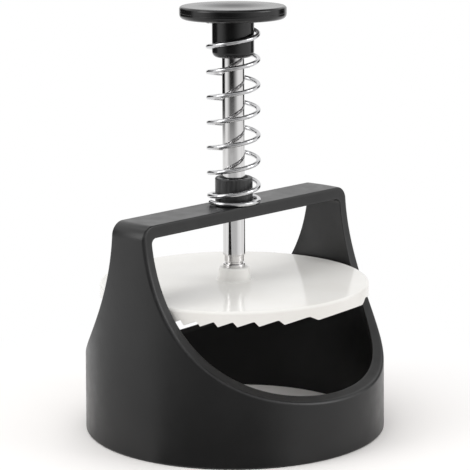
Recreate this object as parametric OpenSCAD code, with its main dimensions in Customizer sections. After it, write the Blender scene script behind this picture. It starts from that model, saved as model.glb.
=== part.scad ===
// Burger press: a round forming ring with a bridge, and a sprung plunger with a ridged plate.
// Millimetres, +Z up. The origin is the centre of the ring on the table, and the bridge runs along X.

/* [Body] */
// Outer diameter of the ring at the table
base_d = 120; // [110:1:130]
// Height of the bridge's top face
body_h = 90.4; // [86:0.1:100]
// Height of the ring at the front and back
ring_h = 22.8; // [18:0.1:28]
// Wall thickness of ring and legs
wall = 5; // [4.2:0.1:5.6]
// Inward lean of the wall's outside, in degrees
draft = 0.7; // [0.4:0.1:1.2]
// Inward lean of the wall's inside, in degrees
bore_draft = 0.2; // [0.1:0.05:0.4]
// Width of the bridge at its narrowest
bar_w = 17.4; // [16:0.1:20]
// Thickness of the bridge
bar_t = 4.9; // [4.2:0.1:6]
// Height of the scallops' centre above the bridge
scallop_rise = 0.9; // [0.5:0.1:3]
// Outer corner radius between bridge and legs
top_corner_r = 5.5; // [4:0.1:7]
// Inner corner radius between bridge and legs
inner_corner_r = 2.4; // [2:0.1:3]
// Rounding of the ring's lower edge
foot_r = 0.8; // [0.4:0.1:1.2]

/* [Guide bush] */
// Outer diameter of the bush above the bridge
bush_d = 14.8; // [14:0.1:15.6]
// Height of the bush above the bridge
bush_h = 10.4; // [8:0.1:14]
// Diameter of the bush's spigot in the bridge
spigot_d = 12; // [11.4:0.1:13]
// Diameter of the bush's flared mouth
mouth_d = 11.4; // [10.4:0.1:12.4]
// Depth of the bush's flared mouth
mouth_h = 1.6; // [1:0.1:2.4]

/* [Plunger] */
// Diameter of the rod
rod_d = 8.8; // [8.2:0.1:9.4]
// Travel from rest down to the stop
stroke = 47.2; // [36:0.1:52]
// Height of the ridges above the table at the bottom of the travel
press_gap = 6.2; // [2:0.1:8]
// Diameter of the groove between the rod's shoulder and its collar
neck_d = 7.8; // [7.4:0.1:8]
// Distance from the rod's shoulder to the boss
neck_l = 4.9; // [4:0.1:7]
// Height of the rod's collar, which sits on the boss
seat_l = 1.5; // [1:0.1:2]
// Core diameter of the rod's screwed tail
tail_d = 6.8; // [6.2:0.1:7.2]
// Length of the rod in the knob's hub
hub_grip = 8; // [6:0.1:10]
// Bevel at the rod's shoulder
shoulder_c = 0.6; // [0.2:0.1:0.9]

/* [Plate] */
// Thickness of the plate above its ridges
plate_t = 4.2; // [3.8:0.1:6]
// Depth of the ridges
ridge_h = 1.8; // [1.2:0.1:2.4]
// Distance from ridge to ridge
ridge_pitch = 6; // [5:0.1:9]
// Direction across the ridges, in degrees from +X
ridge_turn = -84; // [-180:1:180]
// Place of one ridge along that direction
ridge_shift = 3.1; // [-6:0.1:6]
// Share of the pitch taken by the gentle slope
ridge_slope = 0.72; // [0.6:0.01:0.8]
// Share of the pitch taken by the flat before the steep face
ridge_flat = 0.08; // [0.02:0.01:0.15]
// Rounding of the plate's upper edge
plate_edge_r = 1.2; // [0.6:0.1:2]
// Height of the boss above the plate
boss_h = 5.4; // [4:0.1:8]
// Wall of the boss at its top
boss_wall = 2.6; // [1.8:0.1:3.2]
// Extra radius of the boss at its foot
boss_flare = 0.65; // [0.3:0.05:1.2]
// Floor left under the rod's tail
tail_floor = 1.4; // [1.2:0.1:2.4]

/* [Knob] */
// Diameter of the knob's disc
knob_d = 41.7; // [36:0.1:46]
// Thickness of the disc below the seam
disc_t = 2.4; // [1.8:0.1:3]
// Thickness of the cap above the seam
cap_t = 2.6; // [1.8:0.1:3]
// Rounding of the disc's upper and lower edge
knob_edge_r = 1.9; // [0.8:0.1:2.1]
// Diameter of the hub
hub_d = 16.4; // [15:0.1:17]
// Length of the hub below the disc
hub_l = 14.9; // [14.4:0.1:18]
// Rounding of the hub's lower edge
hub_edge_r = 2.2; // [0.8:0.1:2.6]
// Web of the hub between rod and screw head
web_t = 3; // [2.4:0.1:3.4]
// Diameter of the pocket for the screw head
pocket_d = 11.4; // [10.6:0.1:12]
// Wall of the cap's locating collar
collar_wall = 1; // [0.7:0.1:1.2]
// Length of the cap's locating collar
collar_l = 1.6; // [1:0.1:2]
// Diameter of the knob's screw
screw_d = 5; // [4:0.1:5.5]
// Length of the screw below its head
screw_l = 16; // [13:0.5:18]
// Diameter of the screw's head
head_d = 8.6; // [7.6:0.1:9]
// Height of the screw's head
head_h = 2.8; // [2:0.1:3]
// Length of each arm of the screw's cross recess
recess_l = 4.8; // [3.6:0.1:5.6]
// Width of each arm of the screw's cross recess
recess_w = 1.2; // [0.8:0.1:1.6]
// Depth of the screw's cross recess
recess_h = 1.6; // [1:0.1:1.8]
// Thickness of the washer under the screw's head
washer_t = 1; // [0.6:0.1:1.2]

/* [Spring] */
// Diameter of the spring wire
wire_d = 1.8; // [1.5:0.05:1.85]
// Number of turns of the wire, end to end
spring_turns = 7.92; // [6.5:0.01:9]
// Turns that lie flat on the bridge, before the wire climbs
closed_low = 0.25; // [0.15:0.01:0.26]
// Turns in which the wire goes from flat to its full pitch
ramp = 1.15; // [0.9:0.01:1.2]
// Direction of the wire's lower end, in degrees from +X
spring_turn = 155; // [-180:1:180]
// Radial gap between the spring and the knob's hub
spring_gap = 0.7; // [0.5:0.05:1.2]

/* [Fits] */
// Radial clearance of the rod in its guide
slide_fit = 0.05; // [0.03:0.01:0.1]
// Radial clearance of fixed joints
fixed_fit = 0.03; // [0.02:0.01:0.06]
// Gap between the plate and the legs at full lift
plate_gap = 1.2; // [0.6:0.05:2]
// Gap left at each end stop
stop_gap = 0.2; // [0.1:0.05:0.4]
// Gap between the spring and its seats
seat_gap = 0.2; // [0.15:0.05:0.4]

/* [Hidden] */
$fn = 96;

// Cutters run this far past the faces that they cut
over = 1;

// Wall of the body
base_r = base_d / 2;
lean = tan(draft);
bar_under = body_h - bar_t;
bore_lean = tan(bore_draft);
function outer_r(z) = base_r - z * lean;
function inner_r(z) = base_r - wall - z * bore_lean;

// The scallops are round about an X axis, upright beside the bridge, and meet the wall at the ring's height
scallop_z = body_h + scallop_rise;
scallop_reach = outer_r(ring_h) - bar_w / 2;
scallop_drop = scallop_z - ring_h;
scallop_r = (scallop_reach ^ 2 + scallop_drop ^ 2) / (2 * scallop_reach);
scallop_y = bar_w / 2 + scallop_r;

// Heights up the plunger's axis at rest
bush_top = body_h + bush_h;
hub_z = bush_top + stop_gap + stroke;
disc_z = hub_z + hub_l;
seam_z = disc_z + disc_t;
knob_top = seam_z + cap_t;
rod_top = hub_z + hub_grip;
web_top = rod_top + web_t;
head_z = web_top + washer_t;
ridge_z = stroke + press_gap;
plate_under = ridge_z + ridge_h;
plate_top = plate_under + plate_t;
boss_top = plate_top + boss_h;
shoulder_z = boss_top + neck_l;
tail_z = plate_under + tail_floor;

// The plate passes between the legs up to the point where its boss meets the bridge
lift = bar_under - boss_top - stop_gap;
plate_r = inner_r(plate_top + lift) - plate_gap;
boss_d = tail_d + 2 * boss_wall;

// Centre line of the spring
coil_r = hub_d / 2 + spring_gap + wire_d / 2;
spring_z = body_h + seat_gap + wire_d / 2;
spring_rise = disc_z - body_h - 2 * seat_gap - wire_d;
spring_pitch = spring_rise / (spring_turns - closed_low - ramp / 2);
rings_per_turn = 8;
wire_sides = 6;
ring_count = ceil(spring_turns * rings_per_turn);
function climb(t) = t <= 0 ? 0 : t < ramp ? t ^ 2 / (2 * ramp) : t - ramp / 2;
function coil_height(t) = spring_pitch * climb(t - closed_low);
function coil_turn(i) = min(i / rings_per_turn, spring_turns);
function coil_point(i) = let (t = coil_turn(i), a = spring_turn + 360 * t)
    [coil_r * cos(a), coil_r * sin(a), spring_z + coil_height(t)];
coil_points = [for (i = [0 : ring_count]) coil_point(i)];

// Least gap between one turn of the wire and the next
next_turn = rings_per_turn - 1;
coil_gap = min([
    for (i = [0 : ring_count - next_turn], j = [i + next_turn : ring_count])
        norm(coil_points[i] - coil_points[j])
]) - wire_d;
echo(spring_least_gap = coil_gap);
echo(plunger_down = stroke, plunger_lift = lift);

function unit(v) = v / norm(v);

// What a rounding takes off a convex corner, given the corner and the directions of its two sides
module corner_waste(corner, side_a, side_b, r) {
    half = acos(side_a * side_b) / 2;
    inward = unit(side_a + side_b);
    centre = corner + inward * r / sin(half);
    reach = r / tan(half);
    difference() {
        polygon([centre, corner + side_a * reach, corner - inward * over, corner + side_b * reach]);
        translate(centre) circle(r);
    }
}

// A hole or shaft about the plunger's axis
module barrel(d, z0, z1) {
    translate([0, 0, z0]) cylinder(d = d, h = z1 - z0);
}

module outer_profile() {
    foot = [base_r, 0];
    top = [outer_r(body_h), body_h];
    difference() {
        polygon([[0, 0], foot, top, [0, body_h]]);
        corner_waste(top, [-1, 0], unit(foot - top), top_corner_r);
        corner_waste(foot, [-1, 0], unit(top - foot), foot_r);
    }
}

module cavity_profile() {
    foot = [inner_r(-over), -over];
    top = [inner_r(bar_under), bar_under];
    difference() {
        polygon([[0, -over], foot, top, [0, bar_under]]);
        corner_waste(top, [-1, 0], unit(foot - top), inner_corner_r);
    }
}

// Upturned cup with two scallops, which leave a ring, two legs and the bridge
module press_body() {
    color("#2a2a2b")
    difference() {
        rotate_extrude()
            difference() {
                outer_profile();
                cavity_profile();
            }
        for (side = [-1, 1])
            translate([0, side * scallop_y, scallop_z])
                rotate([0, 90, 0]) cylinder(r = scallop_r, h = base_d + 2 * over, center = true, $fn = 180);
        barrel(spigot_d + 2 * fixed_fit, bar_under - over, body_h + over);
    }
}

// Stepped sleeve that stands on the bridge and guides the rod
module guide_bush() {
    bore_d = rod_d + 2 * slide_fit;
    color("#1d1d1e")
    difference() {
        union() {
            barrel(bush_d, body_h, bush_top);
            barrel(spigot_d, bar_under, body_h + bush_h / 2);
        }
        barrel(bore_d, bar_under - over, bush_top + over);
        translate([0, 0, bush_top - mouth_h]) cylinder(d1 = bore_d, d2 = mouth_d, h = mouth_h);
    }
}

// Rod with a groove above its collar and a screwed tail below, tapped at its top for the knob's screw
module plunger_rod() {
    seat_z = boss_top + seat_l;
    bevel_z = shoulder_z + shoulder_c;
    tap_z = head_z - screw_l;
    color("#c9cacc")
    difference() {
        rotate_extrude()
            polygon([
                [0, tail_z], [tail_d / 2, tail_z],
                [tail_d / 2, boss_top], [rod_d / 2, boss_top],
                [rod_d / 2, seat_z], [neck_d / 2, seat_z],
                [neck_d / 2, shoulder_z], [rod_d / 2, bevel_z],
                [rod_d / 2, rod_top], [0, rod_top],
            ]);
        barrel(screw_d + 2 * fixed_fit, tap_z - over, rod_top + over);
    }
}

module plate_profile() {
    edge = [plate_r, plate_top];
    difference() {
        translate([0, ridge_z]) square([plate_r, plate_top - ridge_z]);
        corner_waste(edge, [-1, 0], [0, -1], plate_edge_r);
    }
}

// Slab with saw-tooth ridges below: a gentle slope, a short flat and a steep face in each pitch
module ridge_slab() {
    count = ceil((plate_r + abs(ridge_shift)) / ridge_pitch) + 1;
    tooth = [[0, 0], [ridge_slope, ridge_h], [ridge_slope + ridge_flat, ridge_h]];
    teeth = [
        for (i = [-count : count], corner = tooth)
            [ridge_shift + (i + corner[0]) * ridge_pitch, ridge_z + corner[1]]
    ];
    far = [for (end = [teeth[len(teeth) - 1], teeth[0]]) [end[0], plate_top + over]];
    rotate([0, 0, ridge_turn]) rotate([90, 0, 0])
        linear_extrude(2 * (plate_r + over), center = true) polygon(concat(teeth, far));
}

// Round pressing plate with a conical boss for the rod's tail, which is rooted in the plate
module press_plate() {
    root = plate_t / 2;
    root_d = boss_d + 2 * boss_flare * (boss_h + root) / boss_h;
    color("#efeeea")
    difference() {
        union() {
            intersection() {
                rotate_extrude($fn = 180) plate_profile();
                ridge_slab();
            }
            translate([0, 0, plate_top - root]) cylinder(d1 = root_d, d2 = boss_d, h = boss_h + root);
        }
        barrel(tail_d + 2 * fixed_fit, tail_z, boss_top + over);
    }
}

// Ring of the wire: its plane holds the axis of the coil, and its points go round the centre line
function wire_ring(i) = let (c = coil_points[i], a = spring_turn + 360 * coil_turn(i))
    [for (k = [0 : wire_sides - 1]) let (b = 90 + 360 * k / wire_sides)
        c + wire_d / 2 * [cos(b) * cos(a), cos(b) * sin(a), sin(b)]];

// Right-handed compression spring with a flat lower end
module return_spring() {
    points = [for (i = [0 : ring_count]) each wire_ring(i)];
    last = ring_count * wire_sides;
    skin = [
        for (i = [0 : ring_count - 1], k = [0 : wire_sides - 1])
            let (a = i * wire_sides + k, b = i * wire_sides + (k + 1) % wire_sides)
                each [[a, a + wire_sides, b], [b, a + wire_sides, b + wire_sides]]
    ];
    ends = [for (k = [1 : wire_sides - 2]) each [[0, k, k + 1], [last, last + k + 1, last + k]]];
    color("#d4d5d7") polyhedron(points, concat(skin, ends));
}

module knob_half(z0, z1, edge_z, down) {
    edge = [knob_d / 2, edge_z];
    rotate_extrude()
        difference() {
            translate([0, z0]) square([knob_d / 2, z1 - z0]);
            corner_waste(edge, [-1, 0], [0, down], knob_edge_r);
        }
}

// Lower half of the knob's disc with its hub, a socket for the rod and a pocket for the screw
module knob_base() {
    color("#191919")
    difference() {
        union() {
            knob_half(disc_z, seam_z, disc_z, 1);
            rotate_extrude()
                difference() {
                    translate([0, hub_z]) square([hub_d / 2, hub_l + disc_t]);
                    corner_waste([hub_d / 2, hub_z], [-1, 0], [0, 1], hub_edge_r);
                }
        }
        barrel(rod_d + 2 * fixed_fit, hub_z - over, rod_top);
        barrel(screw_d + 2 * slide_fit, rod_top - over, web_top + over);
        barrel(pocket_d, web_top, seam_z + over);
    }
}

// Cap of the knob, held by a collar in the screw's pocket
module knob_cap() {
    collar_d = pocket_d - 2 * fixed_fit;
    color("#1c1c1c") {
        knob_half(seam_z, knob_top, knob_top, -1);
        difference() {
            barrel(collar_d, seam_z - collar_l, seam_z + cap_t / 2);
            barrel(collar_d - 2 * collar_wall, seam_z - collar_l - over, knob_top);
        }
    }
}

// Pan-head screw with a cross recess
module knob_screw() {
    color("#b9babc")
    difference() {
        union() {
            barrel(head_d, head_z, head_z + head_h);
            barrel(screw_d, head_z - screw_l, head_z + head_h / 2);
        }
        for (turn = [0, 90])
            translate([0, 0, head_z + head_h])
                rotate([0, 0, turn]) cube([recess_l, recess_w, 2 * recess_h], center = true);
    }
}

module knob_washer() {
    color("#a9aaac")
    difference() {
        barrel(pocket_d - 2 * slide_fit, web_top, head_z);
        barrel(screw_d + 2 * slide_fit, web_top - over, head_z + over);
    }
}

press_body();
guide_bush();
plunger_rod();
press_plate();
return_spring();
knob_base();
knob_cap();
knob_screw();
knob_washer();
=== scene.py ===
import math

import bpy
import numpy as np
from mathutils import Matrix


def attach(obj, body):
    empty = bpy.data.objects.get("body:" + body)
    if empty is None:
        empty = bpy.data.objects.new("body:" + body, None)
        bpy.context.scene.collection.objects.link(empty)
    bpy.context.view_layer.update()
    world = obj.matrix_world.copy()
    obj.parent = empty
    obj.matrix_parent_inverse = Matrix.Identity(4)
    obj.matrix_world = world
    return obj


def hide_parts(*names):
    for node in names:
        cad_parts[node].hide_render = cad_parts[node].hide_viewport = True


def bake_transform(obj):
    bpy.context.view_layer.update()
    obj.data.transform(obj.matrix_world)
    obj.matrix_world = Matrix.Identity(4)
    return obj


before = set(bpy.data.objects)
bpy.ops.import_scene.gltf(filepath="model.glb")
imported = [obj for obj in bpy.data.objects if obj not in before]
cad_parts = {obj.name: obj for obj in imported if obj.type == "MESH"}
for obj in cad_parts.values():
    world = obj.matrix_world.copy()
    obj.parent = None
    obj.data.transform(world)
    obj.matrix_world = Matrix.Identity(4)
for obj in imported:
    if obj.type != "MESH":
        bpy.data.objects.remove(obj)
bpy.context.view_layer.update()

MM = 0.001

# Sizes in millimetres, as in the part's source
BASE_R = 60.0
BODY_H = 90.4
RING_H = 22.8
WALL = 5.0
DRAFT = math.radians(0.7)
BORE_DRAFT = math.radians(0.2)
BAR_W = 17.4
BAR_T = 4.9
SCALLOP_RISE = 0.9
TOP_CORNER_R = 5.5
INNER_CORNER_R = 2.4
FOOT_R = 0.8
BUSH_R = 7.4
BUSH_H = 10.4
SPIGOT_R = 6.0
MOUTH_R = 5.7
MOUTH_H = 1.6
ROD_R = 4.4
STROKE = 47.2
PRESS_GAP = 6.2
NECK_R = 3.9
NECK_L = 4.9
SEAT_L = 1.5
TAIL_R = 3.4
HUB_GRIP = 8.0
PLATE_T = 4.2
RIDGE_H = 1.8
RIDGE_PITCH = 6.0
RIDGE_TURN = math.radians(-84)
RIDGE_SHIFT = 3.1
RIDGE_SLOPE = 0.72
RIDGE_FLAT = 0.08
PLATE_EDGE_R = 1.2
BOSS_H = 5.4
BOSS_WALL = 2.6
BOSS_FLARE = 0.65
TAIL_FLOOR = 1.4
KNOB_R = 20.85
DISC_T = 2.4
CAP_T = 2.6
KNOB_EDGE_R = 1.9
HUB_R = 8.2
HUB_L = 14.9
HUB_EDGE_R = 2.2
WEB_T = 3.0
POCKET_R = 5.7
COLLAR_WALL = 1.0
COLLAR_L = 1.6
SCREW_R = 2.5
SCREW_L = 16.0
WASHER_T = 1.0
WIRE_R = 0.9
SPRING_TURNS = 7.92
CLOSED_LOW = 0.25
RAMP = 1.15
SPRING_TURN = math.radians(155)
SPRING_GAP = 0.7
SLIDE_FIT = 0.05
FIXED_FIT = 0.03
PLATE_GAP = 1.2
STOP_GAP = 0.2
SEAT_GAP = 0.2

# Forms that only the finished pieces show: roundings, bevels, an undercut, room under the screw
BAR_EDGE_R = 0.6
CUT_OUTER_R = 1.5
CUT_INNER_R = 0.35
INNER_FOOT_R = 0.5
BUSH_END_R = 0.3
BUSH_FOOT_R = 0.2
BUSH_TOP_R = 0.55
MOUTH_LIP_R = 0.25
MOUTH_FLOOR_R = 0.6
TAIL_END_R = 0.4
COLLAR_FOOT_R = 0.15
COLLAR_TOP_R = 0.45
UNDERCUT_R = 3.5
UNDERCUT_L = 0.7
GROOVE_CORNER_R = 0.15
NECK_EDGE_R = 0.25
ROD_EDGE_R = 0.3
TAP_LIP_R = 0.2
TAP_ROOM = 0.2
TOOTH_TIP_R = 0.22
TOOTH_SLOPE_R = 0.3
TOOTH_STEEP_R = 0.15
RIM_BEVEL = 0.35
BOSS_FOOT_R = 1.0
BOSS_EDGE_R = 0.9
BOSS_LIP_R = 0.2
WIRE_BEVEL = 0.15
SOCKET_LIP_R = 0.3
HUB_FILLET_R = 0.7
SEAM_R = 0.14
CAP_EDGE_R = 1.1

# Heights and radii that follow from the sizes
BAR_UNDER = BODY_H - BAR_T
BUSH_TOP = BODY_H + BUSH_H
HUB_Z = BUSH_TOP + STOP_GAP + STROKE
DISC_Z = HUB_Z + HUB_L
SEAM_Z = DISC_Z + DISC_T
KNOB_TOP = SEAM_Z + CAP_T
ROD_TOP = HUB_Z + HUB_GRIP
WEB_TOP = ROD_TOP + WEB_T
RIDGE_Z = STROKE + PRESS_GAP
PLATE_UNDER = RIDGE_Z + RIDGE_H
PLATE_TOP = PLATE_UNDER + PLATE_T
BOSS_TOP = PLATE_TOP + BOSS_H
BOSS_R = TAIL_R + BOSS_WALL
SEAT_Z = BOSS_TOP + SEAT_L
UNDERCUT_TOP = SEAT_Z + UNDERCUT_L
SHOULDER_Z = BOSS_TOP + NECK_L
TAIL_Z = PLATE_UNDER + TAIL_FLOOR
TAIL_HOLE_R = TAIL_R + FIXED_FIT
TAP_R = SCREW_R + FIXED_FIT
TAP_Z = WEB_TOP + WASHER_T - SCREW_L - TAP_ROOM
LIFT = BAR_UNDER - BOSS_TOP - STOP_GAP
PLATE_R = BASE_R - WALL - (PLATE_TOP + LIFT) * math.tan(BORE_DRAFT) - PLATE_GAP
HOLE_R = SPIGOT_R + FIXED_FIT
BORE_R = ROD_R + SLIDE_FIT
SCALLOP_Z = BODY_H + SCALLOP_RISE
SCALLOP_REACH = BASE_R - RING_H * math.tan(DRAFT) - BAR_W / 2
SCALLOP_R = (SCALLOP_REACH**2 + (SCALLOP_Z - RING_H) ** 2) / (2 * SCALLOP_REACH)
SCALLOP_Y = BAR_W / 2 + SCALLOP_R
COIL_R = HUB_R + SPRING_GAP + WIRE_R
SPRING_Z = BODY_H + SEAT_GAP + WIRE_R
SPRING_RISE = DISC_Z - BODY_H - 2 * SEAT_GAP - 2 * WIRE_R
SPRING_PITCH = SPRING_RISE / (SPRING_TURNS - CLOSED_LOW - RAMP / 2)

# How finely the meshes are divided
WELD_DIGITS = 4
LINE_DIGITS = 5
CORNER_STEPS = 6
EDGE_STEPS = 5
CUT_STEPS = 6
TOOTH_STEPS = 3
RIM_STEPS = 3
RIM_DEGREES = 2.5
TURNED_SIDES = 128
KNOB_SIDES = 160
RINGS_PER_TURN = 48
WIRE_SIDES = 16
# Rows of the body's grid in each stretch: bush hole, bridge, corner, leg, ring
ROWS = (8, 24, 10, 36, 44)
COLUMNS = 12
# Where the rows round the bush hole end, along the bridge, and where those of the leg end
HOLE_STATION = 7.0
FAN_Z = 44.0
EDGE_SAMPLES = 6001
HALVINGS = 60
# Least turn of a rounded corner, in radians, and the step in turns for the wire's direction
LEAST_TURN = 1e-6
COIL_STEP = 1e-4

# Marks of a dull face and of the dark cavity, which fades out between two heights
DULL_MARK = -1
CAVITY_MARK = -2
CAVITY_FADE_Z = (46.0, 60.0)


def unit(v):
    v = np.asarray(v, float)
    return v / np.linalg.norm(v, axis=-1, keepdims=True)


class Skin:
    """Quads with a normal at each corner, welded into one mesh where their points meet.

    The mark of a point is above 0 on an edge that hands rub, and below 0 on a dull or dark face.
    """

    def __init__(self):
        self.index = {}
        self.points = []
        self.marks = []
        self.faces = []
        self.normals = []

    def vertex(self, point, mark):
        key = tuple(np.round(point, WELD_DIGITS) + 0.0)
        if key not in self.index:
            self.index[key] = len(self.points)
            self.points.append(point)
            self.marks.append(mark)
        return self.index[key]

    def face(self, points, normals, marks):
        ids, keep = [], []
        for k, point in enumerate(points):
            i = self.vertex(point, marks[k])
            if i not in ids:
                ids.append(i)
                keep.append(k)
        if len(ids) < 3:
            return
        kept = [points[k] for k in keep]
        facing = np.cross(kept[1] - kept[0], kept[2] - kept[0])
        if len(kept) == 4:
            facing = np.cross(kept[2] - kept[0], kept[3] - kept[1])
        if facing @ sum(normals[k] for k in keep) < 0:
            ids.reverse()
            keep.reverse()
        self.faces.append(ids)
        self.normals += [normals[k] for k in keep]

    def grid(self, points, normals, marks=None, quarters=False):
        """Rows and columns of points. With quarters, the grid is mirrored in X and in Y as well."""
        points, normals = np.asarray(points, float), np.asarray(normals, float)
        if marks is None:
            marks = np.zeros(points.shape[:2])
        signs = [(x, y, 1) for x in (1, -1) for y in (1, -1)] if quarters else [(1, 1, 1)]
        for sign in signs:
            p, n = points * sign, normals * sign
            for i in range(len(p) - 1):
                for j in range(p.shape[1] - 1):
                    at = ((i, j), (i + 1, j), (i + 1, j + 1), (i, j + 1))
                    self.face([p[c] for c in at], [n[c] for c in at], [marks[c] for c in at])

    def lathe(self, outline, sides):
        """Turns an outline, as rounded() makes it, about the Z axis."""
        angles = np.linspace(0, 2 * math.pi, sides + 1)
        c, s = np.cos(angles), np.sin(angles)

        def turned(*pairs):
            rings = [[r * c, r * s, np.full_like(c, z)] for r, z in pairs]
            return np.array(rings).transpose(0, 2, 1)

        for (a, _, a_out, a_worn), (b, b_in, _, b_worn) in zip(outline, outline[1:]):
            worn = np.array([np.full_like(c, a_worn), np.full_like(c, b_worn)])
            self.grid(turned(a, b), turned(a_out, b_in), worn)

    def build(self, name):
        mesh = bpy.data.meshes.new(name)
        mesh.from_pydata([tuple(p * MM) for p in self.points], [], self.faces)
        mesh.polygons.foreach_set("use_smooth", [True] * len(mesh.polygons))
        mesh.normals_split_custom_set([tuple(n) for n in unit(self.normals)])
        finish = mesh.attributes.new("finish", "FLOAT", "POINT")
        finish.data.foreach_set("value", np.array(self.marks, np.float32))
        piece = bpy.data.objects.new(name, mesh)
        bpy.context.scene.collection.objects.link(piece)
        return piece


def rounded(corners, closed=True, steps=CORNER_STEPS):
    """Points of an outline with round corners.

    A corner is r, z and its radius. The outline runs with the material on its left. Each point
    comes with the normal of the side before it, that of the side after it, and its wear.
    """
    xy = [np.array(c[:2], float) for c in corners]
    count = len(xy)
    out = []
    for k, corner in enumerate(corners):
        here = xy[k]
        before = xy[k - 1] if closed or k else None
        after = xy[(k + 1) % count] if closed or k < count - 1 else None
        into = unit(here - before) if before is not None else unit(after - here)
        away = unit(after - here) if after is not None else into
        n_in, n_out = np.array([into[1], -into[0]]), np.array([away[1], -away[0]])
        radius = corner[2] if len(corner) > 2 else 0
        turn = math.atan2(into[0] * away[1] - into[1] * away[0], into @ away)
        if radius == 0 or abs(turn) < LEAST_TURN:
            out.append((here, n_in, n_out, 0.0))
            continue
        side = 1 if turn > 0 else -1
        start = here - into * radius * abs(math.tan(turn / 2))
        centre = start - side * n_in * radius
        for share in np.linspace(0, 1, steps + 1):
            c, s = math.cos(turn * share), math.sin(turn * share)
            n = np.array([n_in[0] * c - n_in[1] * s, n_in[0] * s + n_in[1] * c])
            worn = math.sin(math.pi * share) if side > 0 else 0.0
            out.append((centre + side * radius * n, n, n, worn))
    return out + out[:1] if closed else out


class Section:
    """Half of the body's section, outside or in the cavity.

    It runs from the axis along the bridge, round the corner and down the wall, by distance.
    """

    def __init__(self, top_z, wall_r, draft, corner_r, side, foot_z):
        self.top_z, self.draft, self.corner_r, self.side = top_z, draft, corner_r, side
        corner = np.array([wall_r - top_z * math.tan(draft), top_z])
        self.down = np.array([math.sin(draft), -math.cos(draft)])
        along = np.array([-1.0, 0.0])
        half = math.acos(along @ self.down) / 2
        self.centre = corner + unit(along + self.down) * corner_r / math.sin(half)
        self.turn = math.pi - 2 * half
        self.wall_start = corner + self.down * corner_r / math.tan(half)
        self.flat_end = corner[0] - corner_r / math.tan(half)
        self.arc_end = self.flat_end + corner_r * self.turn
        self.foot = self.arc_end + (self.wall_start[1] - foot_z) / math.cos(draft)

    def at(self, s):
        """Radius, height and normal at a distance."""
        s = np.asarray(s, float)
        a = np.clip((s - self.flat_end) / self.corner_r, 0, self.turn)
        nr, nz = np.sin(a), np.cos(a)
        flat, wall = np.minimum(s - self.flat_end, 0), np.maximum(s - self.arc_end, 0)
        r = self.centre[0] + self.corner_r * nr + flat + wall * self.down[0]
        z = self.centre[1] + self.corner_r * nz + wall * self.down[1]
        return r, z, self.side * nr, self.side * nz

    def locate(self, r, z):
        """Distance along the line of the point nearest to a radius and height."""
        a = np.arctan2(r - self.centre[0], z - self.centre[1])
        arc = self.flat_end + self.corner_r * np.clip(a, 0, self.turn)
        across = (r - self.wall_start[0]) * self.down[0]
        below = (z - self.wall_start[1]) * self.down[1]
        wall = self.arc_end + across + below
        return np.where(a <= 0, r, np.where(a >= self.turn, wall, arc))

    def surface(self, turn, s):
        """Points and normals at azimuths and distances."""
        turn, s = np.broadcast_arrays(turn, s)
        r, z, nr, nz = self.at(s)
        c, d = np.cos(turn), np.sin(turn)
        return np.stack([r * c, r * d, z], -1), np.stack([nr * c, nr * d, nz], -1)


def scallop_half(z):
    """Half the width that the scallops leave at a height."""
    return SCALLOP_Y - np.sqrt(SCALLOP_R**2 - (np.asarray(z, float) - SCALLOP_Z) ** 2)


def stretches(stops, counts):
    """Even steps between stops, without the last stop."""
    return np.concatenate([
        np.linspace(stops[k], stops[k + 1], count, endpoint=False) for k, count in enumerate(counts)
    ])


def edge_rows(section):
    """The front scallop's edge on one face, in the quarter with +X: points with both normals."""
    low, high = section.arc_end, section.foot
    for _ in range(HALVINGS):
        mid = (low + high) / 2
        r, z, _, _ = section.at(mid)
        low, high = (mid, high) if r > scallop_half(z) else (low, mid)
    first, last = float(scallop_half(section.top_z)), low

    def points(s):
        r, z, _, _ = section.at(s)
        y = -scallop_half(z)
        return np.stack([np.sqrt(np.maximum(r**2 - y**2, 0)), y, z], -1)

    s = first + (last - first) * (0.5 - 0.5 * np.cos(np.linspace(0, math.pi, EDGE_SAMPLES)))
    gaps = np.linalg.norm(np.diff(points(s), axis=0), axis=1)
    length = np.concatenate([[0], np.cumsum(gaps)])
    fan_r = section.wall_start[0] + (section.wall_start[1] - FAN_Z) * math.tan(section.draft)
    fan = float(section.locate(fan_r, FAN_Z))
    hole = math.hypot(first, HOLE_STATION)
    stations = [first, hole, section.flat_end, section.arc_end, fan, last]
    marks = np.interp(stations, s, length)
    rows = np.interp(np.append(stretches(marks, ROWS), marks[-1]), length, s)
    p = points(rows)
    p[0, 0] = p[-1, 0] = 0
    _, face = section.surface(np.arctan2(p[:, 1], p[:, 0]), rows)
    cut = np.stack([np.zeros(len(p)), -SCALLOP_Y - p[:, 1], SCALLOP_Z - p[:, 2]], -1) / SCALLOP_R
    return p, face, cut


def round_edge(points, face, cut, radius):
    """Rounding of an edge between a face and the cut: points, normals and wear."""
    dot = (face * cut).sum(-1, keepdims=True)
    centre = points - radius[:, None] * (face + cut) / (1 + dot)
    angle = np.arccos(dot)
    ways = np.linspace(0, 1, EDGE_STEPS + 1)
    normals = np.stack([
        (np.sin((1 - t) * angle) * face + np.sin(t * angle) * cut) / np.sin(angle) for t in ways
    ], 1)
    worn = np.tile(np.sin(math.pi * ways), (len(points), 1))
    return centre[:, None] + radius[:, None, None] * normals, normals, worn


def path_rows(section):
    """The far side of a face's grid, as azimuths and distances.

    It runs round the bush hole, along the middle of the bridge and the leg, and round the foot.
    """
    hole = np.linspace(-math.pi / 2, 0, ROWS[0], endpoint=False)
    leg = stretches([HOLE_R, section.flat_end, section.arc_end, section.foot], ROWS[1:4])
    foot = np.linspace(0, -math.pi / 2, ROWS[4] + 1)
    turn = np.concatenate([hole, np.zeros(len(leg)), foot])
    s = np.concatenate([np.full(len(hole), HOLE_R), leg, np.full(len(foot), section.foot)])
    return turn, s


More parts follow.
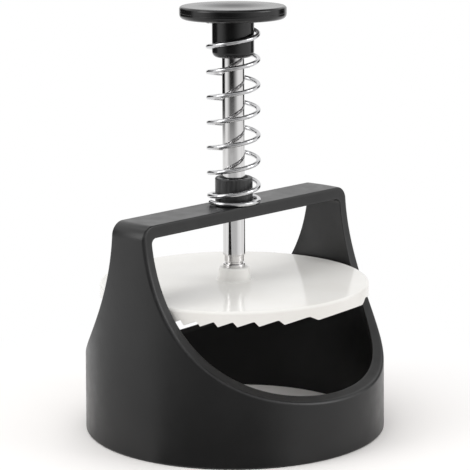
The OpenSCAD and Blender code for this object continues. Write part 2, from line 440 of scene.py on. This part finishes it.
def face_grid(section, near):
    """Points and normals of a face between its rounded edge and its far side."""
    turn, s = path_rows(section)
    share = np.linspace(0, 1, COLUMNS + 1)
    flat_rows = ROWS[0] + ROWS[1]
    near_turn = np.arctan2(near[:, 1], near[:, 0])
    near_s = section.locate(np.hypot(near[:, 0], near[:, 1]), near[:, 2])
    points, normals = section.surface(
        near_turn[:, None] + (turn - near_turn)[:, None] * share,
        near_s[:, None] + (s - near_s)[:, None] * share,
    )
    far, _ = section.surface(turn[:flat_rows], s[:flat_rows])
    start = near[:flat_rows]
    points[:flat_rows] = start[:, None] + (far - start)[:, None] * share[:, None]
    normals[:flat_rows] = (0, 0, section.side)
    points[:, 0] = near
    return points, normals


def foot_band(outer, inner):
    """The ring's lower edge: round outside, flat below, round inside."""
    wall_in = BASE_R - WALL
    # Any height above the roundings, which gives the walls their draft
    up = 10.0
    outline = rounded([
        (wall_in - up * math.tan(BORE_DRAFT), up), (wall_in, 0, INNER_FOOT_R), (BASE_R, 0, FOOT_R),
        (BASE_R - up * math.tan(DRAFT), up),
    ], closed=False)[1:-1]
    turn = np.linspace(0, -math.pi / 2, ROWS[4] + 1)
    c, s = np.cos(turn), np.sin(turn)

    def turned(pairs):
        return np.stack([np.stack([r * c, r * s, np.full_like(c, z)], -1) for r, z in pairs], 1)

    points, normals = turned([o[0] for o in outline]), turned([o[2] for o in outline])
    points[:, 0] = inner.surface(turn, inner.foot)[0]
    points[:, -1] = outer.surface(turn, outer.foot)[0]
    return points, normals


def make_body():
    """Ring, legs and bridge: both faces, their rounded edges, the cut, the foot, the bush hole."""
    outer_foot = FOOT_R / math.tan((math.pi / 2 - DRAFT) / 2) * math.cos(DRAFT)
    inner_foot = INNER_FOOT_R / math.tan((math.pi / 2 + BORE_DRAFT) / 2) * math.cos(BORE_DRAFT)
    outer = Section(BODY_H, BASE_R, DRAFT, TOP_CORNER_R, 1, outer_foot)
    inner = Section(BAR_UNDER, BASE_R - WALL, BORE_DRAFT, INNER_CORNER_R, -1, inner_foot)
    skin = Skin()
    rims = []
    leg_row = sum(ROWS[:3])
    row = np.arange(sum(ROWS) + 1)
    outer_r = np.interp(row, (leg_row - ROWS[2], leg_row), (BAR_EDGE_R, CUT_OUTER_R))
    inner_r = np.full(len(row), CUT_INNER_R)
    for section, radius in ((outer, outer_r), (inner, inner_r)):
        points, normals, worn = round_edge(*edge_rows(section), radius)
        skin.grid(points, normals, worn, quarters=True)
        face, lean = face_grid(section, points[:, 0])
        marks = None
        if section is inner:
            marks = np.interp(face[..., 2], CAVITY_FADE_Z, (CAVITY_MARK, 0))
        skin.grid(face, lean, marks, quarters=True)
        rims.append(points[:, -1])

    share = np.linspace(0, 1, CUT_STEPS + 1)[:, None]
    cut = rims[0][:, None] + (rims[1] - rims[0])[:, None] * share
    axis = np.array([0, -SCALLOP_Y, SCALLOP_Z])
    inward = unit((axis - cut) * (0, 1, 1))
    across = axis - SCALLOP_R * inward
    across[..., 0] = cut[..., 0]
    across[:, 0], across[:, -1] = rims
    dull = np.zeros(across.shape[:2])
    dull[:, 1:-1] = DULL_MARK
    skin.grid(across, inward, dull, quarters=True)
    skin.grid(*foot_band(outer, inner), quarters=True)

    turn = np.linspace(-math.pi / 2, 0, ROWS[0] + 1)
    ring = np.stack([HOLE_R * np.cos(turn), HOLE_R * np.sin(turn)], -1)
    wall = np.stack([
        np.column_stack([ring, np.full(len(ring), z)]) for z in (BODY_H, BAR_UNDER)
    ], 1)
    into = np.column_stack([-ring / HOLE_R, np.zeros(len(ring))])
    skin.grid(wall, np.stack([into, into], 1), quarters=True)
    return skin.build("body_moulding")


def make_bush():
    """Sleeve with a spigot in the bridge and a flared mouth."""
    skin = Skin()
    skin.lathe(rounded([
        (BORE_R, BAR_UNDER, BUSH_END_R), (SPIGOT_R, BAR_UNDER, BUSH_END_R), (SPIGOT_R, BODY_H),
        (BUSH_R, BODY_H, BUSH_FOOT_R), (BUSH_R, BUSH_TOP, BUSH_TOP_R),
        (MOUTH_R, BUSH_TOP, MOUTH_LIP_R), (BORE_R, BUSH_TOP - MOUTH_H, MOUTH_FLOOR_R),
    ]), TURNED_SIDES)
    return skin.build("bush_sleeve")


def make_rod():
    """Polished rod: tail, collar, undercut, neck, shoulder, and a hole for the knob's screw."""
    skin = Skin()
    skin.lathe(rounded([
        (0, TAIL_Z), (TAIL_R, TAIL_Z, TAIL_END_R), (TAIL_R, BOSS_TOP),
        (ROD_R, BOSS_TOP, COLLAR_FOOT_R), (ROD_R, SEAT_Z, COLLAR_TOP_R),
        (UNDERCUT_R, SEAT_Z, GROOVE_CORNER_R), (UNDERCUT_R, UNDERCUT_TOP, GROOVE_CORNER_R),
        (NECK_R, UNDERCUT_TOP, NECK_EDGE_R), (NECK_R, SHOULDER_Z, GROOVE_CORNER_R),
        (ROD_R, SHOULDER_Z, ROD_EDGE_R), (ROD_R, ROD_TOP, ROD_EDGE_R),
        (TAP_R, ROD_TOP, TAP_LIP_R), (TAP_R, TAP_Z), (0, TAP_Z),
    ], closed=False), TURNED_SIDES)
    return skin.build("rod_polished")


def make_plate():
    """Moulded plate: saw-tooth ridges below, round upper edge, conical boss.

    q runs across the ridges and p along them, and placed() turns them into the part's frame.
    """
    edge = PLATE_R - RIM_BEVEL
    count = math.ceil((PLATE_R + abs(RIDGE_SHIFT)) / RIDGE_PITCH) + 1
    tooth = (
        (0, 0, TOOTH_TIP_R), (RIDGE_SLOPE, RIDGE_H, TOOTH_SLOPE_R),
        (RIDGE_SLOPE + RIDGE_FLAT, RIDGE_H, TOOTH_STEEP_R),
    )
    teeth = [
        (RIDGE_SHIFT + (i + at) * RIDGE_PITCH, RIDGE_Z + rise, radius)
        for i in range(-count, count + 1)
        for at, rise, radius in tooth
    ]
    line = rounded(teeth, closed=False, steps=TOOTH_STEPS)
    q_line = np.array([p[0][0] for p in line])
    least_chord = 0.02
    inside = q_line[np.abs(q_line) < edge - least_chord]
    on_rim = edge * np.cos(np.radians(np.arange(0, 180 + RIM_DEGREES, RIM_DEGREES)))
    q = np.unique(np.round(np.concatenate([inside, on_rim]), LINE_DIGITS))
    z = np.interp(q, q_line, [p[0][1] for p in line])
    tilt = unit(np.stack([np.interp(q, q_line, [p[1][k] for p in line]) for k in (0, 1)], -1))
    p = np.sqrt(np.maximum(edge**2 - q**2, 0))
    p[0] = p[-1] = 0
    cos, sin = math.cos(RIDGE_TURN), math.sin(RIDGE_TURN)
    turn = np.array([[cos, -sin], [sin, cos]])

    def placed(q, p, z):
        xy = np.stack([q, p], -1) @ turn.T
        return np.concatenate([xy, np.asarray(z, float)[..., None]], -1)

    skin = Skin()
    below = np.stack([placed(q, side * p, z) for side in (-1, 1)], 1)
    down = placed(tilt[:, 0], 0 * q, tilt[:, 1])
    skin.grid(below, np.stack([down, down], 1))

    around = np.concatenate([np.arange(len(q)), np.arange(len(q) - 2, -1, -1)])
    sign = np.concatenate([np.ones(len(q)), -np.ones(len(q) - 1)])
    out = unit(np.stack([q[around], sign * p[around]], -1))
    ways = np.linspace(0, math.pi / 2, RIM_STEPS + 1)
    rim = [
        (edge + RIM_BEVEL * math.sin(a), z[around] + RIM_BEVEL * (1 - math.cos(a))) for a in ways
    ]
    lean = [math.sin(a) for a in ways]
    band = np.stack([placed(r * out[:, 0], r * out[:, 1], height) for r, height in rim], 1)
    radial = placed(out[:, 0], out[:, 1], 0 * sign)
    skin.grid(band, np.stack([unit(radial * k + down[around] * (1 - k)) for k in lean], 1))

    top = rounded([
        (PLATE_R, PLATE_UNDER), (PLATE_R, PLATE_TOP, PLATE_EDGE_R),
        (BOSS_R + BOSS_FLARE, PLATE_TOP, BOSS_FOOT_R), (BOSS_R, BOSS_TOP, BOSS_EDGE_R),
        (TAIL_HOLE_R, BOSS_TOP, BOSS_LIP_R), (TAIL_HOLE_R, TAIL_Z), (0, TAIL_Z),
    ], closed=False)
    rows, leans = [band[:, -1]], [radial]
    same_way = 0.999
    for here, n_in, n_out, _ in top[1:]:
        for n in (n_in, n_out) if n_in @ n_out < same_way else (n_in,):
            for ring, (r, height) in ((rows, here), (leans, n)):
                ring.append(placed(r * out[:, 0], r * out[:, 1], np.full(len(out), height)))
    skin.grid(np.stack(rows, 1), np.stack(leans, 1))
    return skin.build("plate_moulding")


def climb(t):
    """Turns of pitch gained after t turns: none at first, then a ramp, then one for one."""
    return np.where(t <= 0, 0, np.where(t < RAMP, t**2 / (2 * RAMP), t - RAMP / 2))


def coil(t):
    """Centre line of the wire, by turns from its lower end."""
    a = SPRING_TURN + 2 * math.pi * t
    z = SPRING_Z + SPRING_PITCH * climb(t - CLOSED_LOW)
    return np.stack([COIL_R * np.cos(a), COIL_R * np.sin(a), z], -1)


def make_spring():
    """Round wire along the coil, with bevelled ends."""
    t = np.linspace(0, SPRING_TURNS, math.ceil(SPRING_TURNS * RINGS_PER_TURN))
    centre = coil(t)
    ahead = unit(coil(t + COIL_STEP) - coil(t - COIL_STEP))
    outward = unit(centre * (1, 1, 0))
    upward = np.cross(ahead, outward)
    b = np.linspace(0, 2 * math.pi, WIRE_SIDES + 1)[:, None]
    skin = Skin()
    spokes = np.cos(b) * outward[:, None] + np.sin(b) * upward[:, None]
    spokes[:, -1] = spokes[:, 0]
    skin.grid(centre[:, None] + WIRE_R * spokes, spokes)
    for end, way in ((0, -1), (-1, 1)):
        cap = unit(way * ahead[end])
        rim = centre[end] + WIRE_R * spokes[end]
        lip = centre[end] + (WIRE_R - WIRE_BEVEL) * spokes[end] + WIRE_BEVEL * cap
        flat = np.broadcast_to(cap, rim.shape)
        slant = unit(spokes[end] + cap)
        tip = np.broadcast_to(centre[end] + WIRE_BEVEL * cap, rim.shape)
        skin.grid(np.stack([rim, lip], 1), np.stack([slant, slant], 1))
        skin.grid(np.stack([lip, tip], 1), np.stack([flat, flat], 1))
    piece = skin.build("spring_wire")
    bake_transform(piece)
    return piece


def make_knob_base():
    """Lower half of the knob's disc, with the hub, the rod's socket and the screw's pocket."""
    socket, hole = ROD_R + FIXED_FIT, SCREW_R + SLIDE_FIT
    skin = Skin()
    skin.lathe(rounded([
        (socket, HUB_Z, SOCKET_LIP_R), (HUB_R, HUB_Z, HUB_EDGE_R), (HUB_R, DISC_Z, HUB_FILLET_R),
        (KNOB_R, DISC_Z, KNOB_EDGE_R), (KNOB_R, SEAM_Z, SEAM_R), (POCKET_R, SEAM_Z),
        (POCKET_R, WEB_TOP), (hole, WEB_TOP), (hole, ROD_TOP), (socket, ROD_TOP),
    ]), KNOB_SIDES)
    return skin.build("knob_lower")


def make_knob_cap():
    """Upper half of the disc, with a collar that sits in the screw's pocket."""
    collar = POCKET_R - FIXED_FIT
    skin = Skin()
    skin.lathe(rounded([
        (0, SEAM_Z), (collar - COLLAR_WALL, SEAM_Z), (collar - COLLAR_WALL, SEAM_Z - COLLAR_L),
        (collar, SEAM_Z - COLLAR_L), (collar, SEAM_Z), (KNOB_R, SEAM_Z, SEAM_R),
        (KNOB_R, KNOB_TOP, CAP_EDGE_R), (0, KNOB_TOP),
    ], closed=False), KNOB_SIDES)
    return skin.build("knob_upper")


# Noises: the range that their values mostly fill, and the scales of the mottling, of the patches
# of gloss on plastic and on steel, of the patches of wear and of the spots on the satin face
NOISE_RANGE = (0.3, 0.7)
MOTTLE = 55
GLOSS_PATCHES = 160
STEEL_PATCHES = 240
WEAR_PATCHES = 700
SATIN_SPOTS = 300
# How the wear breaks up: the range of its noise, and what is left of it at both ends
WEAR_RANGE = (0.35, 0.65)
WEAR_SHARES = (0.25, 1.0)
# How much rougher a dull face is, how uneven the satin face, and how strong the steel's lines
DULL = 0.16
SATIN_UNEVEN = 0.01
LINE_BUMP = 0.25
# The satin face begins between these depths under the knob's top, and the palm's rubbing fades
# between these shares of its radius. The boss's painted glow is full from this height over the
# plate
SATIN_DEPTHS = (0.6, 0.1)
PALM_SHARES = (0.05, 0.8)
GLOW_H = 2.5


class Paint:
    """A node material with a Principled shader."""

    def __init__(self, name, **sockets):
        self.material = bpy.data.materials.new(name)
        self.material.use_nodes = True
        self.tree = self.material.node_tree
        self.shader = self.tree.nodes["Principled BSDF"]
        for key, value in sockets.items():
            self.shader.inputs[key.replace("_", " ")].default_value = value
        self.place = self.node("ShaderNodeTexCoord").outputs["Object"]
        self.finish = self.node("ShaderNodeAttribute", attribute_name="finish").outputs["Fac"]

    def node(self, kind, **settings):
        made = self.tree.nodes.new(kind)
        for key, value in settings.items():
            if key in made.inputs:
                made.inputs[key].default_value = value
            else:
                setattr(made, key, value)
        return made

    def link(self, a, b):
        self.tree.links.new(a, b)

    def feed(self, value, socket):
        """Links a value to a socket, or sets it there when it is a constant."""
        if isinstance(value, bpy.types.NodeSocket):
            self.link(value, socket)
        else:
            socket.default_value = value

    def noise(self, scale, detail=3.0, roughness=0.5, stretch=None):
        made = self.node("ShaderNodeTexNoise", Scale=scale, Detail=detail, Roughness=roughness)
        if stretch is None:
            self.link(self.place, made.inputs["Vector"])
        else:
            mapping = self.node("ShaderNodeMapping", Scale=stretch)
            self.link(self.place, mapping.inputs["Vector"])
            self.link(mapping.outputs["Vector"], made.inputs["Vector"])
        return made.outputs["Fac"]

    def ramp(self, value, low, high, dark, light):
        made = self.node("ShaderNodeValToRGB")
        stops = made.color_ramp.elements
        for stop, (at, colour) in zip(stops, ((low, dark), (high, light))):
            stop.position = at
            stop.color = (*colour, 1)
        self.link(value, made.inputs["Fac"])
        return made.outputs["Color"]

    def spread(self, value, low, high, to_low, to_high, smooth=False):
        kind = "SMOOTHSTEP" if smooth else "LINEAR"
        made = self.node("ShaderNodeMapRange", interpolation_type=kind)
        keys = ("From Min", "From Max", "To Min", "To Max")
        for key, x in zip(keys, (low, high, to_low, to_high)):
            made.inputs[key].default_value = x
        self.link(value, made.inputs["Value"])
        return made.outputs["Result"]

    def fade(self, value, low, high, to_low, to_high):
        """A spread with soft ends."""
        return self.spread(value, low, high, to_low, to_high, smooth=True)

    def math(self, operation, a, b):
        made = self.node("ShaderNodeMath", operation=operation)
        self.feed(a, made.inputs[0])
        self.feed(b, made.inputs[1])
        return made.outputs["Value"]

    def reach(self):
        """Distance from the Z axis."""
        flat = self.node("ShaderNodeVectorMath", operation="MULTIPLY")
        flat.inputs[1].default_value = (1, 1, 0)
        self.link(self.place, flat.inputs[0])
        length = self.node("ShaderNodeVectorMath", operation="LENGTH")
        self.link(flat.outputs["Vector"], length.inputs[0])
        return length.outputs["Value"]

    def height(self):
        """Height over the table, with the press at rest."""
        apart = self.node("ShaderNodeSeparateXYZ")
        self.link(self.place, apart.inputs["Vector"])
        return apart.outputs["Z"]

    def worn(self):
        """The rounded edges, broken up by a noise."""
        edge = self.spread(self.finish, 0, 1, 0, 1)
        patches = self.spread(self.noise(WEAR_PATCHES, detail=4), *WEAR_RANGE, *WEAR_SHARES)
        return self.math("MULTIPLY", edge, patches)

    def blend(self, share, a, b, kind="RGBA"):
        made = self.node("ShaderNodeMix", data_type=kind)
        sockets = [i for i in made.inputs if i.enabled]
        for value, socket in zip((share, a, b), sockets):
            self.feed(value, socket)
        return next(o for o in made.outputs if o.enabled)

    def bump(self, value, strength, distance):
        made = self.node("ShaderNodeBump", Strength=strength, Distance=distance)
        self.link(value, made.inputs["Height"])
        return made.outputs["Normal"]

    def source(self, key):
        """What drives one of the shader's sockets."""
        return self.shader.inputs[key].links[0].from_socket

    def set(self, key, value):
        self.link(value, self.shader.inputs[key])


def moulded(name, dark, light, rub, rough, grain, stretch=None, **sockets):
    """Moulded plastic: mottled colour, uneven gloss, a fine grain, and edges rubbed by use.

    A grain is the scale of its noise, the strength of the bump and its depth.
    """
    paint = Paint(name, **sockets)
    cloud = paint.noise(1 if stretch else MOTTLE, detail=4, stretch=stretch)
    worn = paint.worn()
    mottled = paint.ramp(cloud, *NOISE_RANGE, dark, light)
    paint.set("Base Color", paint.blend(worn, mottled, (*rub, 1)))
    gloss = paint.spread(paint.noise(GLOSS_PATCHES, detail=5), *NOISE_RANGE, *rough)
    dull = paint.spread(paint.finish, DULL_MARK, 0, DULL, 0)
    paint.set("Roughness", paint.math("ADD", gloss, dull))
    scale, strength, depth = grain
    paint.set("Normal", paint.bump(paint.noise(scale, detail=2), strength, depth))
    return paint


def steel(name, dark, light, rough, stretch, depth):
    """Bright metal with fine lines, drawn along the direction of the least stretch."""
    paint = Paint(name, Metallic=1.0)
    lines = paint.noise(1, detail=4, roughness=0.6, stretch=stretch)
    paint.set("Base Color", paint.ramp(lines, *NOISE_RANGE, dark, light))
    gloss = paint.spread(paint.noise(STEEL_PATCHES, detail=4), *NOISE_RANGE, *rough)
    paint.set("Roughness", gloss)
    paint.set("Normal", paint.bump(lines, LINE_BUMP, depth))
    return paint


def dark_cavity(paint, least, most):
    """Takes shine from the body's cavity, where the photograph shows almost none."""
    shine = paint.spread(paint.finish, CAVITY_MARK, DULL_MARK, least, most)
    paint.set("Specular IOR Level", shine)


def satin_top(paint, level, radii, rough, shine):
    """Gives the knob's top face a satin finish, dullest in the middle, where the palm pushes."""
    begin, full = (level - depth * MM for depth in SATIN_DEPTHS)
    top = paint.spread(paint.height(), begin, full, 0, 1)
    spots = paint.noise(SATIN_SPOTS, detail=5)
    spots = paint.spread(spots, *NOISE_RANGE, -SATIN_UNEVEN, SATIN_UNEVEN)
    dull = paint.math("ADD", paint.fade(paint.reach(), *radii, *rough), spots)
    paint.set("Roughness", paint.blend(top, paint.source("Roughness"), dull, "FLOAT"))
    rubbed = paint.fade(paint.reach(), *radii, *shine)
    paint.set("Specular IOR Level", paint.blend(top, shine[1], rubbed, "FLOAT"))


def paint_boss_glow(paint, foot, top, share, colour):
    """Paints the boss paler than the plate: painted light, standing in for the light that passes
    through its thin wall.
    """
    risen = paint.spread(paint.height(), foot, top, 0, share)
    paint.set("Base Color", paint.blend(risen, paint.source("Base Color"), (*colour, 1)))


def grey(level):
    return (level, level, level * 1.03)


BODY = moulded(
    "body_plastic", dark=grey(0.005), light=grey(0.008), rub=grey(0.015),
    rough=(0.31, 0.39), grain=(1600, 0.35, 0.00005),
)
BUSH = moulded(
    "bush_plastic", dark=grey(0.006), light=grey(0.04), rub=grey(0.06),
    rough=(0.3, 0.5), grain=(1100, 0.6, 0.0001), stretch=(900, 900, 90),
)
KNOB = moulded(
    "knob_plastic", dark=grey(0.004), light=grey(0.006), rub=grey(0.012),
    rough=(0.16, 0.22), grain=(1500, 0.08, 0.00003),
)
PLATE = moulded(
    "plate_plastic", dark=(0.77, 0.755, 0.725), light=(0.80, 0.79, 0.765), rub=(0.82, 0.815, 0.80),
    rough=(0.09, 0.14), grain=(420, 0.04, 0.00004), Specular_IOR_Level=0.08,
)
ROD = steel(
    "rod_steel", dark=(0.66, 0.65, 0.65), light=(0.74, 0.735, 0.73),
    rough=(0.06, 0.12), stretch=(1200, 1200, 15), depth=0.000002,
)
WIRE = steel(
    "spring_steel", dark=(0.56, 0.56, 0.57), light=(0.68, 0.68, 0.69),
    rough=(0.08, 0.16), stretch=(900, 900, 900), depth=0.000006,
)
SCREW = steel(
    "screw_steel", dark=(0.5, 0.5, 0.52), light=(0.62, 0.62, 0.64),
    rough=(0.25, 0.35), stretch=(1500, 1500, 1500), depth=0.00001,
)
dark_cavity(BODY, least=0.25, most=0.5)
satin_top(
    KNOB, level=KNOB_TOP * MM, radii=[share * KNOB_R * MM for share in PALM_SHARES],
    rough=(0.40, 0.20), shine=(0.38, 0.5),
)
# Painted glow: the boss's base colour turns paler upwards, for light shining through its thin wall
paint_boss_glow(
    PLATE, foot=PLATE_TOP * MM, top=(PLATE_TOP + GLOW_H) * MM,
    share=0.75, colour=(0.93, 0.92, 0.89),
)


def dress(piece, paint):
    piece.data.materials.clear()
    piece.data.materials.append(paint.material)


def stand_in(piece, paint, node, body=None):
    """Puts a finished piece in the place of a CAD node."""
    dress(piece, paint)
    if body:
        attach(piece, body)
    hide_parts(node)


stand_in(make_body(), BODY, "press_body", "frame")
stand_in(make_bush(), BUSH, "guide_bush", "frame")
stand_in(make_rod(), ROD, "plunger_rod", "plunger")
stand_in(make_plate(), PLATE, "press_plate", "plunger")
stand_in(make_knob_base(), KNOB, "knob_base", "plunger")
stand_in(make_knob_cap(), KNOB, "knob_cap", "plunger")
stand_in(make_spring(), WIRE, "return_spring")
for name in ("knob_screw", "knob_washer"):
    dress(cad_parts[name], SCREW)

# Camera, from the edges in the photograph
CAMERA = np.array([-555.43, -525.58, 237.54])
YAW, PITCH, ROLL = (math.radians(a) for a in (-46.622, 11.84, -0.306))
FOCAL_PX = 1972.1
IMAGE_PX = 470
SENSOR = 36.0
CLIP = (0.05, 20)
# The image centre lies between two pixels, half a pixel before the point that the fit used
HALF_PX = 0.5


def make_camera():
    flat = math.cos(PITCH)
    back = np.array([math.sin(YAW) * flat, -math.cos(YAW) * flat, math.sin(PITCH)])
    right = np.array([math.cos(YAW), math.sin(YAW), 0])
    up = np.cross(back, right)
    c, s = math.cos(ROLL), math.sin(ROLL)
    right, up = c * right + s * up, c * up - s * right
    data = bpy.data.cameras.new("camera")
    data.sensor_width = SENSOR
    data.lens = FOCAL_PX / IMAGE_PX * SENSOR
    data.shift_x, data.shift_y = -HALF_PX / IMAGE_PX, HALF_PX / IMAGE_PX
    data.clip_start, data.clip_end = CLIP
    camera = bpy.data.objects.new("camera", data)
    turn = Matrix(np.column_stack([right, up, back]).tolist()).to_4x4()
    camera.matrix_world = Matrix.Translation(CAMERA * MM) @ turn
    bpy.context.scene.collection.objects.link(camera)
    bpy.context.scene.camera = camera


# Set: a pale floor, which turns into the white background away from the ring
FLOOR_R = 4.0
FLOOR_SIDES = 96
FLOOR_FADE_R = (0.062, 0.17)
FLOOR_COLOUR = (0.92, 0.90, 0.885, 1)
MATT = {"Roughness": 0.9, "Specular_IOR_Level": 0.0}


def background_rays(tree):
    """1 for the rays that show the background: straight, mirrored or through glass."""
    path = tree.nodes.new("ShaderNodeLightPath")
    total = path.outputs["Is Camera Ray"]
    for key in ("Is Glossy Ray", "Is Transmission Ray"):
        most = tree.nodes.new("ShaderNodeMath")
        most.operation = "MAXIMUM"
        tree.links.new(total, most.inputs[0])
        tree.links.new(path.outputs[key], most.inputs[1])
        total = most.outputs["Value"]
    return total


def stage_piece(name, points, faces, paint):
    mesh = bpy.data.meshes.new(name)
    mesh.from_pydata(points, [], faces)
    mesh.materials.append(paint.material)
    piece = bpy.data.objects.new(name, mesh)
    bpy.context.scene.collection.objects.link(piece)
    return piece


def mixed_shader(paint, share, first, second):
    mixed = paint.node("ShaderNodeMixShader")
    paint.link(share, mixed.inputs["Fac"])
    paint.link(first, mixed.inputs[1])
    paint.link(second, mixed.inputs[2])
    output = paint.tree.nodes["Material Output"]
    paint.link(mixed.outputs["Shader"], output.inputs["Surface"])


def make_floor():
    paint = Paint("floor_white", Base_Color=FLOOR_COLOUR, **MATT)
    far = paint.fade(paint.reach(), *FLOOR_FADE_R, 0, 1)
    white = paint.node("ShaderNodeEmission", Color=(1, 1, 1, 1), Strength=1.0)
    share = paint.math("MULTIPLY", far, background_rays(paint.tree))
    mixed_shader(paint, share, paint.shader.outputs["BSDF"], white.outputs["Emission"])
    turn = np.linspace(0, 2 * math.pi, FLOOR_SIDES, endpoint=False)
    points = [(FLOOR_R * math.cos(a), FLOOR_R * math.sin(a), 0) for a in turn]
    stage_piece("floor", points, [list(range(FLOOR_SIDES))], paint)


# Dark cards round the set, and a painted contact shadow round the ring's foot, which only show
# where they are mirrored. They lie on one sheet, given by radius and height, which runs from the
# ring's foot over the floor and up a wall to a ceiling
CARD_PROFILE = (
    (0.0605, 0.0004), (0.066, 0.001), (0.3, 0.004), (0.78, 0.01), (0.95, 0.03), (0.97, 0.2),
    (0.97, 0.62), (0.85, 0.75), (0.6, 0.9), (0.3, 0.97), (0.001, 1.0),
)
CARD_SIDES = 144
CARD_COLOUR = (0.01, 0.01, 0.01, 1)
# Sectors by degrees from the camera, negative to the left: start and end of the fade at each side.
# The first three go by the direction in which the ring mirrors the floor
FRONT_CARD = (-72, -52, 12, 68)
SIDE_FEET = (-160, -130, 130, 160)
# The contact sector, with its darkness and radii below, is a painted shadow: a dark band round the
# foot that the ring mirrors as its contact shadow
CONTACT_SHADOW_SECTOR = (-150, -120, 120, 150)
FRONT_WALL = (-70, -28, -6, 62)
SIDE_WALLS = ((-160, -150, -100, -90), (110, 120, 140, 150))
CEILING_GAP = (-165, -145, -95, -75)
# How dark each is, and the radii or heights between which it fades
FRONT_DARK = 0.4
FRONT_FOOT_DARK = 0.8
SIDE_FOOT_DARK = 0.29
CONTACT_SHADOW_DARK = 0.22
CEILING_DARK = 0.9
CEILING_GAP_SHARE = 0.2
CONTACT_SHADOW_FADE_R = (0.062, 0.095)
FOOT_FADE_R = (0.14, 0.32)
WALL_FADE_R = (0.40, 0.92)
SIDE_FADE_R = (0.58, 0.84)
WALL_FADE_Z = (0.35, 0.60)
CEILING_FADE_Z = (0.68, 0.90)


def make_cards():
    """Flags that the steel and the black plastic mirror, with a painted contact shadow round the
    foot. They take no light from the object.
    """
    paint = Paint("card_black", Base_Color=CARD_COLOUR, **MATT)
    place = paint.node("ShaderNodeSeparateXYZ")
    paint.link(paint.place, place.inputs["Vector"])
    angle = paint.math("ARCTAN2", place.outputs["Y"], place.outputs["X"])
    radius = paint.reach()
    # Close to the ring, a point of the floor is mirrored at a wider angle than its own
    wider = paint.math("DIVIDE", radius, paint.math("SUBTRACT", radius, BASE_R * MM / 2))
    mirrored = paint.math("MULTIPLY", angle, wider)

    def sector(limits, angle):
        a, b, c, d = np.radians(limits)
        begun = paint.fade(angle, a, b, 0, 1)
        not_over = paint.fade(angle, c, d, 1, 0)
        return paint.math("MULTIPLY", begun, not_over)

    front = sector(FRONT_CARD, mirrored)
    front_foot = paint.spread(front, 0, 1, 0, FRONT_FOOT_DARK)
    side_feet = paint.spread(sector(SIDE_FEET, mirrored), 0, 1, 0, SIDE_FOOT_DARK)
    feet = paint.math("MAXIMUM", front_foot, side_feet)
    feet = paint.math("MULTIPLY", feet, paint.fade(radius, *FOOT_FADE_R, 1, 0))
    # Painted shadow: close to the foot the sheet turns dark, so the ring mirrors a contact shadow
    # that the white floor does not show in reflections
    contact_shadow_fade = paint.fade(radius, *CONTACT_SHADOW_FADE_R, CONTACT_SHADOW_DARK, 0)
    painted_contact_shadow = paint.math("MULTIPLY", sector(CONTACT_SHADOW_SECTOR, mirrored), contact_shadow_fade)
    dark = paint.math("MAXIMUM", feet, painted_contact_shadow)
    walls = [(FRONT_WALL, WALL_FADE_R)] + [(limits, SIDE_FADE_R) for limits in SIDE_WALLS]
    for limits, radii in walls:
        far = paint.fade(radius, *radii, 0, 1)
        dark = paint.math("MAXIMUM", dark, paint.math("MULTIPLY", sector(limits, angle), far))
    dark = paint.math("MAXIMUM", dark, paint.spread(front, 0, 1, 0, FRONT_DARK))
    low = paint.fade(place.outputs["Z"], *WALL_FADE_Z, 1, 0)
    dark = paint.math("MULTIPLY", dark, low)
    ceiling = paint.fade(place.outputs["Z"], *CEILING_FADE_Z, 0, CEILING_DARK)
    gap = paint.spread(sector(CEILING_GAP, angle), 0, 1, 1, CEILING_GAP_SHARE)
    dark = paint.math("MAXIMUM", dark, paint.math("MULTIPLY", ceiling, gap))
    clear = paint.node("ShaderNodeBsdfTransparent")
    mixed_shader(paint, dark, clear.outputs["BSDF"], paint.shader.outputs["BSDF"])

    turn = np.linspace(-math.pi, math.pi, CARD_SIDES + 1)
    points = [(r * math.cos(a), r * math.sin(a), z) for r, z in CARD_PROFILE for a in turn]
    count = len(turn)
    starts = [
        row * count + k for row in range(len(CARD_PROFILE) - 1) for k in range(CARD_SIDES)
    ]
    faces = [(k, k + 1, k + count + 1, k + count) for k in starts]
    cards = stage_piece("cards", points, faces, paint)
    cards.rotation_euler[2] = math.atan2(CAMERA[1], CAMERA[0])
    cards.visible_camera = cards.visible_diffuse = cards.visible_shadow = False


# Light: an even world, which is white where the background shows, and three soft lamps.
# A lamp is its name, place, aim, size and power
WORLD_LIGHT = 0.66
LAMPS = (
    ("lamp_top", (-0.1, 0.1, 1.3), (0, 0, 0.05), (1.2, 1.2), 8),
    ("lamp_left", (-1.2, 0.5, 0.7), (0, 0, 0.08), (0.7, 1.0), 6),
    ("lamp_right", (0.6, -1.2, 0.7), (0, 0, 0.08), (0.7, 1.0), 5),
)
# Nearly upright, so that a lamp may hang straight above what it lights
LAMP_UP = (0, 0.02, 1)


def make_world():
    world = bpy.data.worlds.new("studio")
    bpy.context.scene.world = world
    world.use_nodes = True
    tree = world.node_tree
    tree.nodes.clear()
    output = tree.nodes.new("ShaderNodeOutputWorld")
    mixed = tree.nodes.new("ShaderNodeMixShader")
    for k, level in ((1, WORLD_LIGHT), (2, 1.0)):
        light = tree.nodes.new("ShaderNodeBackground")
        light.inputs["Color"].default_value = (1, 1, 1, 1)
        light.inputs["Strength"].default_value = level
        tree.links.new(light.outputs["Background"], mixed.inputs[k])
    tree.links.new(background_rays(tree), mixed.inputs["Fac"])
    tree.links.new(mixed.outputs["Shader"], output.inputs["Surface"])


def make_lamp(name, place, aim, size, watts):
    data = bpy.data.lights.new(name, "AREA")
    data.shape = "RECTANGLE"
    data.size, data.size_y = size
    data.energy = watts
    lamp = bpy.data.objects.new(name, data)
    back = unit(np.array(place) - np.array(aim))
    side = unit(np.cross(LAMP_UP, back))
    turn = Matrix(np.column_stack([side, np.cross(back, side), back]).tolist()).to_4x4()
    lamp.matrix_world = Matrix.Translation(place) @ turn
    bpy.context.scene.collection.objects.link(lamp)


make_camera()
make_floor()
make_cards()
make_world()
for lamp in LAMPS:
    make_lamp(*lamp)

bpy.context.scene.view_settings.view_transform = "Standard"
